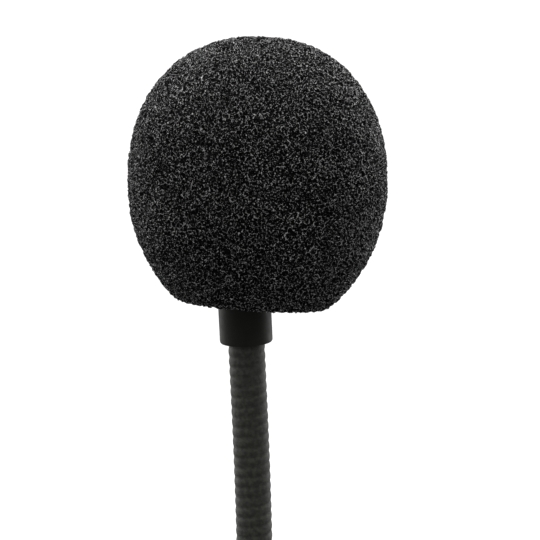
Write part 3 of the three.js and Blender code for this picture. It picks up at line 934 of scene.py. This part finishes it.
def across_joint(obj):
    """Bakes the place of a piece that crosses one of the gooseneck's joints into its
    mesh.
    """
    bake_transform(obj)


def on_neck(obj, i, material):
    """Finishes a length of sheath or lead. The first and the last ride on the
    gooseneck's ends, and the others each cross one of its joints."""
    remember_rest(obj)
    obj.data.materials.append(material)
    if i == 0:
        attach(obj, NECK_BODIES[0])
    elif i == len(NECK):
        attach(obj, NECK_BODIES[-1])
    else:
        across_joint(obj)


def make_sheath():
    line, middles = neck_line()
    edges = [SHEATH_FROM] + middles + [line.length]
    for i, (low, high) in enumerate(zip(edges, edges[1:])):
        obj = sheath_piece(f"sheath_{i}", line, low, high)
        on_neck(obj, i, SHEATH)
        if i < len(NECK):
            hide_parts(f"gooseneck_sheath_{i + 1}")


def make_lead():
    """The signal lead, in lengths that meet at the middles of the gooseneck's sections.
    """
    line, middles = neck_line()
    path = [(TEMPLE.x + x, TEMPLE.y, TEMPLE.z + z) for x, z in (
        (5.5, 0), (9, 0), (14, 0), (15.9, 0.1), (16.9, 1.2), (17, 3), (16.4, 4.7),
        (14.9, 6.5), (14.1, 9), (14.1, 14),
    )]
    foot = NECK[0].to_translation()
    lower = Line(centripetal(path + [tuple(foot)]))
    profile = wire_profile(0, lower.length, LEAD_R, 0.3, 0.1)
    obj = sweep("lead_swivel", lower, profile, 16)
    remember_rest(obj)
    keep(obj, LEAD, "boom_arm", "black_rubber", "signal_lead")
    edges = [0.0] + middles + [line.length + LEAD_PAST]
    for i, (low, high) in enumerate(zip(edges, edges[1:])):
        profile = wire_profile(low, high, LEAD_R, 0.6, 0.02)
        on_neck(sweep(f"lead_{i}", line, profile, 16), i, LEAD)


# ---- swivel ----
HUB_IN = 10.4
HUB_R = 8.0
BOSS_TOP = 17.5  # of the upright part that holds the boom
SCREW_UP = 12.5
STOP_RADIUS = 5.8  # of the pin that stops the swing, and of its arc groove
SWING_BACK, SWING_FORE = 30, 120  # degrees


def groove_tool():
    """The arc groove that the stop pin runs in."""
    past = math.radians(10)
    low = math.radians(-90 - SWING_FORE) - past
    high = math.radians(-90 + SWING_BACK) + past
    inner, outer = STOP_RADIUS - 0.95, STOP_RADIUS + 0.95
    front, back = HUB_IN - 1, HUB_IN + 1.8
    corners = ((inner, front), (outer, front), (outer, back), (inner, back))
    steps = 48
    points, faces = [], []
    for i in range(steps + 1):
        a = low + (high - low) * i / steps
        for r, x in corners:
            points.append((x, r * math.cos(a), r * math.sin(a)))
    for i in range(steps):
        for k in range(4):
            a, b = i * 4 + k, i * 4 + (k + 1) % 4
            faces.append([a, b, b + 4, a + 4])
    faces.append([3, 2, 1, 0])
    last = steps * 4
    faces.append([last, last + 1, last + 2, last + 3])
    return new_object("tool", points, faces, LEFT_BLOCK)


def make_swivel():
    across = LEFT_BLOCK @ ALONG_X
    hub = lathe("hub", [
        (0, HUB_IN), (HUB_R, HUB_IN, 0.7), (HUB_R, HUB_OUT, 1.3), (0, HUB_OUT),
    ], 96, across)
    boom = LEFT_BLOCK @ moved(BOOM_X, 0, 0)
    screw_place = boom @ moved(0, 0, SCREW_UP) @ ALONG_Y
    boss = lathe("tool", [
        (0, 1), (3.5, 1), (3.5, 8), (3.5, BOSS_TOP, 0.6), (0, BOSS_TOP),
    ], 72, boom)
    combine(hub, boss, "UNION")
    combine(hub, rod(6.2, HUB_OUT - 4, HUB_OUT + 1, across, 96))
    combine(hub, rod(2.15, HUB_IN - 1, HUB_OUT, across))
    combine(hub, rod(2.1, 5.2, BOSS_TOP + 1, boom))
    combine(hub, rod(0.95, -4, -1, screw_place, 32))
    combine(hub, groove_tool())
    keep(hub, PLASTIC, "boom_arm", "black_plastic", "swivel_hub")
    cap = lathe("hub_cap", [
        (0, HUB_OUT - CAP_SUNK), (6.0, HUB_OUT - CAP_SUNK, 0.1),
        (6.0, HUB_OUT + 0.35, 0.35), (4.9, HUB_OUT + 0.55, 0.3),
        (4.6, HUB_OUT + 0.35, 0.15), (4.2, HUB_OUT + 0.45, 0.2),
        (3, HUB_OUT + 0.75, 1), (0, HUB_OUT + 0.9),
    ], 96, across)
    keep(cap, PLASTIC, "boom_arm", "black_plastic", "swivel_cap")
    ferrule = lathe("boom_ferrule", [
        (2.1, 0, 0.1), (3.1, 0, 0.2), (3.1, 1.6, 0.15), (2.75, 1.9, 0.1),
        (2.75, 2.5, 0.1), (3.1, 2.8, 0.15), (3.1, 6.2, 0.5), (2.5, 8.2, 0.25),
        (2.1, 8.2, 0.05),
    ], 96, boom @ moved(0, 0, BOSS_TOP + 0.3))
    keep(ferrule, STEEL, "boom_arm", "steel", "base_ferrule")
    screw = lathe("set_screw", [
        (0, -3.4), (0.8, -3.4, 0.1), (0.8, -2.3, 0.1), (0, -2.3),
    ], 32, screw_place)
    combine(screw, rod(0.4, -4, -2.8, screw_place, 6))
    keep(screw, STEEL, "boom_arm", "steel", "boom_set_screw")


# ---- temple blocks ----
BLOCK_R, BLOCK_DEEP, BLOCK_FLOOR = 10.0, 9.0, 7.6
WIRE_AT = 4.0
COVER_SCREW_Y = 6.3
SOCKET_X, SOCKET_Z = 4.7, -5.9


def box_tool(x0, x1, y0, y1, z0, z1, place):
    """A plain box to cut with."""
    corners = [(x, y, z) for x in (x0, x1) for y in (y0, y1) for z in (z0, z1)]
    faces = [
        [0, 1, 3, 2], [4, 6, 7, 5], [0, 4, 5, 1], [2, 3, 7, 6], [0, 2, 6, 4],
        [1, 5, 7, 3],
    ]
    return new_object("tool", corners, faces, place)


def make_block(side):
    """A temple block: its shell, hollow behind its cover, and its pad."""
    left = side == "left"
    place = LEFT_BLOCK if left else RIGHT_BLOCK
    across = place @ ALONG_X
    body = f"frame_{side}"
    shell = lathe(f"temple_block_{side}", [
        (0, 0), (BLOCK_R, 0, 0.6), (BLOCK_R, BLOCK_DEEP, 1.6), (0, BLOCK_DEEP),
    ], 128, across)
    combine(shell, rod(8.7, -1, BLOCK_FLOOR, across, 96))
    wire = place @ moved(WIRE_AT, 0, 0)
    combine(shell, lathe("tool", [
        (0, 5), (2.4, 5), (2.4, 10.6, 0.7), (0, 10.6),
    ], 64, wire), "UNION")
    for y in (-COVER_SCREW_Y, COVER_SCREW_Y):
        post = place @ moved(0, y, 0) @ ALONG_X
        combine(shell, rod(1.7, 1.7, 7.9, post, 32), "UNION")
        combine(shell, rod(0.7, 1.4, 7.2, post, 24))
    if left:
        socket = place @ moved(SOCKET_X, 0, SOCKET_Z) @ ALONG_Y
        combine(shell, lathe("tool", [
            (0, 6), (3, 6), (3, 11, 0.4), (0, 11),
        ], 64, socket), "UNION")
        pin = place @ moved(0, 0, -STOP_RADIUS) @ ALONG_X
        combine(shell, rod(0.8, 8.5, 11.6, pin, 32), "UNION")
        combine(shell, rod(2.25, -3, 12, socket))
        combine(shell, rod(2.15, 5, 12, across))
    combine(shell, rod(1.5, 4, 12, wire))
    below_table = box_tool(-1, 12, -12, 12, -14, -TEMPLE.z, place)
    combine(shell, below_table)
    keep(shell, PLASTIC, body, "black_plastic", f"temple_shell_{side}")
    pad = lathe(f"pad_{side}", [
        (0, -3.7), (3.6, -3.7, 0.6), (4.3, -4.1, 0.5), (6.8, -4.1, 1.5),
        (8.5, -3.3, 1.2), (9, -2.3, 1), (9, -1.2, 0.3),
        (8.7, -0.9, 0.15), (8.9, -0.6, 0.15), (8.6, -0.3, 0.1), (0, -0.3),
    ], 128, across)
    keep(pad, PAD, body, "black_rubber", f"temple_pad_{side}")
    if left:
        make_socket(place)


def make_socket(place):
    turn = place @ moved(SOCKET_X, 0, SOCKET_Z) @ ALONG_Y
    socket = lathe("socket", [
        (0, -2.5), (2.1, -2.5, 0.2), (2.1, 11.3), (2.9, 11.3, 0.1), (2.9, 12.4, 0.35),
        (1.3, 12.4, 0.3), (1.3, -1.5), (0, -1.5),
    ], 72, turn)
    keep(socket, PLASTIC, "frame_left", "black_plastic", "cable_socket")


# ---- wire frame ----
ADJUSTER_Y = 92.0
CHANNEL_Y, CHANNEL_Z = 3.1, 4.5  # the slider rods' channels
WIRE_R = 1.2
SLEEVE_FROM, SLEEVE_TO = 0.46, 0.87  # of the course's length
SLEEVE_BORE = 1.35


def frame_points(way):
    """The frame wire's course on one side, from the adjuster over the ear."""
    y = ADJUSTER_Y - CHANNEL_Y * way
    points = [
        (20.9, y, CHANNEL_Z), (25, y, CHANNEL_Z), (30, y, CHANNEL_Z),
        (40, 90.2, 4.7), (50, 83.5, 5.6), (58, 73.5, 7.4), (63.3, 61, 10.2),
        (66.6, 48, 14), (68.4, 35, 19), (69.2, 23, 25.5), (69.4, 12.5, 34),
        (69.2, 3, 43), (68.9, -8, 49.4), (68.4, -19.5, 50), (67.8, -29, 44),
        (67.3, -34.4, 35), (67, -36, 26), (67, -36, 20), (67, -36, 15),
    ]
    return [(x * way, yy, z) for x, yy, z in points]


def make_frame(side):
    """One side's wire, from inside the adjuster to its temple block, in one
    piece between the two, and its ear sleeve."""
    way = 1 if side == "left" else -1
    y = ADJUSTER_Y - CHANNEL_Y * way
    curve = centripetal(frame_points(way))
    inner = np.linspace(-1.5 * way, 20.85 * way, 40)
    straight = [(x, y, CHANNEL_Z) for x in inner]
    line = Line(np.vstack([straight, curve]))
    wire = sweep(f"wire_{side}", line, wire_profile(0, line.length, WIRE_R, 0.8), 32)
    remember_rest(wire)
    wire.data.materials.append(WIRE)
    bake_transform(wire)
    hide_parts(f"slider_rod_{side}", f"frame_wire_{side}")
    bend = Line(curve)
    low, high = SLEEVE_FROM * bend.length, SLEEVE_TO * bend.length
    profile = [(low, SLEEVE_BORE), (low, 2.0), (low + 0.25, 2.3), (low + 0.7, 2.45)]
    profile += [(s, 2.5) for s in spaced(low + 1.4, high - 1.4, 0.8)]
    profile += [(high - 0.7, 2.45), (high - 0.25, 2.3), (high, 2.0)]
    profile += [(s, SLEEVE_BORE) for s in [high, *spaced(high - 0.5, low + 0.5, 0.8)]]
    sleeve = sweep(f"sleeve_{side}", bend, profile, 40, 50)
    keep(sleeve, RUBBER, f"frame_{side}", "black_rubber", f"ear_sleeve_{side}")


# ---- rear adjuster ----
CASE_HALF_X, CASE_HALF_Z, CASE_DEEP = 20, 5.5, 6.4
CASE_GAP = 0.03  # half the gap between the two shells
CASE_SCREW_X, CASE_SCREW_Z = 17, 8.3


def make_adjuster():
    for way, name in ((-1, "adjuster_front_shell"), (1, "adjuster_rear_shell")):
        ends = sorted(ADJUSTER_Y + way * d for d in (CASE_GAP, CASE_DEEP))
        shell = slab(
            name.replace("adjuster_", "adjuster_case_"), CASE_HALF_X, CASE_HALF_Z,
            *ends, 2.2, 0.6, moved(0, 0, CASE_HALF_Z),
        )
        y = ADJUSTER_Y + way * CHANNEL_Y
        span = sorted((ADJUSTER_Y - way, y + way * 2.25))
        combine(shell, box_tool(-14, 14, *span, 2.4, 6.6, Matrix()))
        bore = moved(-34 if way == 1 else 0, y, CHANNEL_Z) @ ALONG_X
        combine(shell, rod(1.5, 10, 24, bore))
        for x in (CASE_SCREW_X, -CASE_SCREW_X):
            hole = lathe("tool", [
                (0, -5.8), (0.85, -5.8), (0.85, 4), (1.55, 4.7), (1.55, 8), (0, 8),
            ], 48, moved(x, ADJUSTER_Y, CASE_SCREW_Z) @ ALONG_Y)
            combine(shell, hole)
        if way == 1:
            grip_ribs(shell)
        keep(shell, PLASTIC, "adjuster", "black_plastic", name)
    for side, x in (("left", CASE_SCREW_X), ("right", -CASE_SCREW_X)):
        turn = moved(x, ADJUSTER_Y, CASE_SCREW_Z) @ ALONG_Y
        screw = lathe(f"case_screw_{side}", [
            (0, -5.5), (0.7, -5.2), (0.7, 4.1), (1.4, 4.8, 0.05), (1.4, 5.4, 0.15),
            (0, 5.45),
        ], 48, turn)
        for a in (20, 110):
            slot_place = turn @ Matrix.Rotation(math.radians(a + x), 4, "Z")
            combine(screw, box_tool(-0.85, 0.85, -0.16, 0.16, 4.75, 6, slot_place))
        keep(screw, STEEL, "adjuster", "steel", f"adjuster_screw_{side}")


def grip_ribs(shell):
    """Shallow grooves across the middle of the outer face, for the fingers."""
    for i in range(7):
        x = (i - 3) * 2.2
        place = moved(x, ADJUSTER_Y + 6.1, 4.3)
        combine(shell, slab("tool", 0.45, 2.9, 0, 3, 0.44, 0.2, place))


# ---- light, floor and camera ----
SUBJECT = to_packed(FOAM_MIDDLE)  # the foam's middle, in metres
BRIGHT_WAY = (-0.1, 0.45, 0.89)  # where the room is brightest, seen from the object
ROOM_LIGHT = (-0.55, 1.0, 0.18, 1.42)  # its light, against the cosine to that
SUN_WAY = (-0.15, 0.35, 0.92)
SUN_POWER, SUN_ANGLE = 0.55, 45
FILL_AT = (0.6, 0.35, 0.1)  # from the foam's middle, and mirrored for the left
FILL_SIZE = (0.4, 0.7)
LEFT_POWER, RIGHT_POWER = 1.2, 1.5
FLOOR_HALF, FLOOR_Z = 12.0, -0.0004
CAMERA_DISTANCE = 0.285
CAMERA_DOWN = math.radians(5.5)
FRAME_WIDTH = 0.0733  # at CAMERA_DISTANCE
FRAME_MIDDLE = (0.00168, 0, -0.0120)  # from the foam's, which is left and above
SENSOR = 36


def add_light(name, kind, way, energy, at=(0, 0, 0), **settings):
    """A lamp at a place, shining along way."""
    data = bpy.data.lights.new(name, kind)
    data.energy = energy
    for key, value in settings.items():
        setattr(data, key, value)
    lamp = put_in_scene(name, data)
    lamp.location = at
    lamp.rotation_euler = Vector(way).to_track_quat("-Z", "Y").to_euler()


def make_room():
    """A room that is bright above and behind the object and dim in front, and
    that the camera sees as plain white."""
    world = bpy.data.worlds.new("studio")
    bpy.context.scene.world = world
    world.use_nodes = True
    tree = world.node_tree
    new = tree.nodes.new
    coords = new("ShaderNodeTexCoord")
    lean = new("ShaderNodeVectorMath")
    lean.operation = "DOT_PRODUCT"
    lean.inputs[1].default_value = Vector(BRIGHT_WAY).normalized()
    level = new("ShaderNodeMapRange")
    level.interpolation_type = "SMOOTHSTEP"
    for key, value in zip(RANGE_SOCKETS, ROOM_LIGHT):
        level.inputs[key].default_value = value
    seen = new("ShaderNodeLightPath")
    shown = new("ShaderNodeMath")
    shown.operation = "MAXIMUM"
    for source, target in (
        (coords.outputs["Generated"], lean.inputs[0]),
        (lean.outputs["Value"], level.inputs["Value"]),
        (level.outputs["Result"], shown.inputs[0]),
        (seen.outputs["Is Camera Ray"], shown.inputs[1]),
        (shown.outputs[0], tree.nodes["Background"].inputs["Color"]),
    ):
        tree.links.new(source, target)


def make_floor():
    """White paper. It lights nothing, so that the foam's front stays dark."""
    h = FLOOR_HALF
    mesh = bpy.data.meshes.new("floor")
    mesh.from_pydata([(-h, -h, 0), (h, -h, 0), (h, h, 0), (-h, h, 0)], [], [[0, 1, 2, 3]])
    floor = put_in_scene("floor", mesh)
    s = Shade("floor_paper")
    s.color(s.mix(s.noise(60, 3), grey(0.86), grey(0.88)))
    s.set(Roughness=0.9, Specular_IOR_Level=0.1)
    floor.data.materials.append(s.material)
    floor.location.z = FLOOR_Z
    floor.visible_diffuse = False
    floor.visible_glossy = False


def make_lights():
    add_light(
        "top_light", "SUN", -Vector(SUN_WAY), SUN_POWER, angle=math.radians(SUN_ANGLE),
    )
    x, y, z = FILL_AT
    for name, at, power in (
        ("left_fill", Vector((-x, y, z)), LEFT_POWER),
        ("right_fill", Vector((x, y, z)), RIGHT_POWER),
    ):
        add_light(
            name, "AREA", -at, power, SUBJECT + at, shape="RECTANGLE",
            size=FILL_SIZE[0], size_y=FILL_SIZE[1],
        )


def make_camera():
    target = SUBJECT + Vector(FRAME_MIDDLE)
    back = Vector((0, -math.cos(CAMERA_DOWN), math.sin(CAMERA_DOWN)))
    data = bpy.data.cameras.new("camera")
    data.sensor_width = SENSOR
    data.lens = SENSOR * CAMERA_DISTANCE / FRAME_WIDTH
    data.clip_start = 0.01
    camera = put_in_scene("camera", data)
    camera.location = target + back * CAMERA_DISTANCE
    camera.rotation_euler = (-back).to_track_quat("-Z", "Y").to_euler()
    bpy.context.scene.camera = camera


finish_cad_nodes()
make_windscreen()
make_head()
make_sheath()
make_lead()
make_swivel()
for side in ("left", "right"):
    make_block(side)
    make_frame(side)
make_adjuster()
make_room()
make_floor()
make_lights()
make_camera()
bpy.context.scene.view_settings.view_transform = "Standard"
bpy.context.view_layer.update()
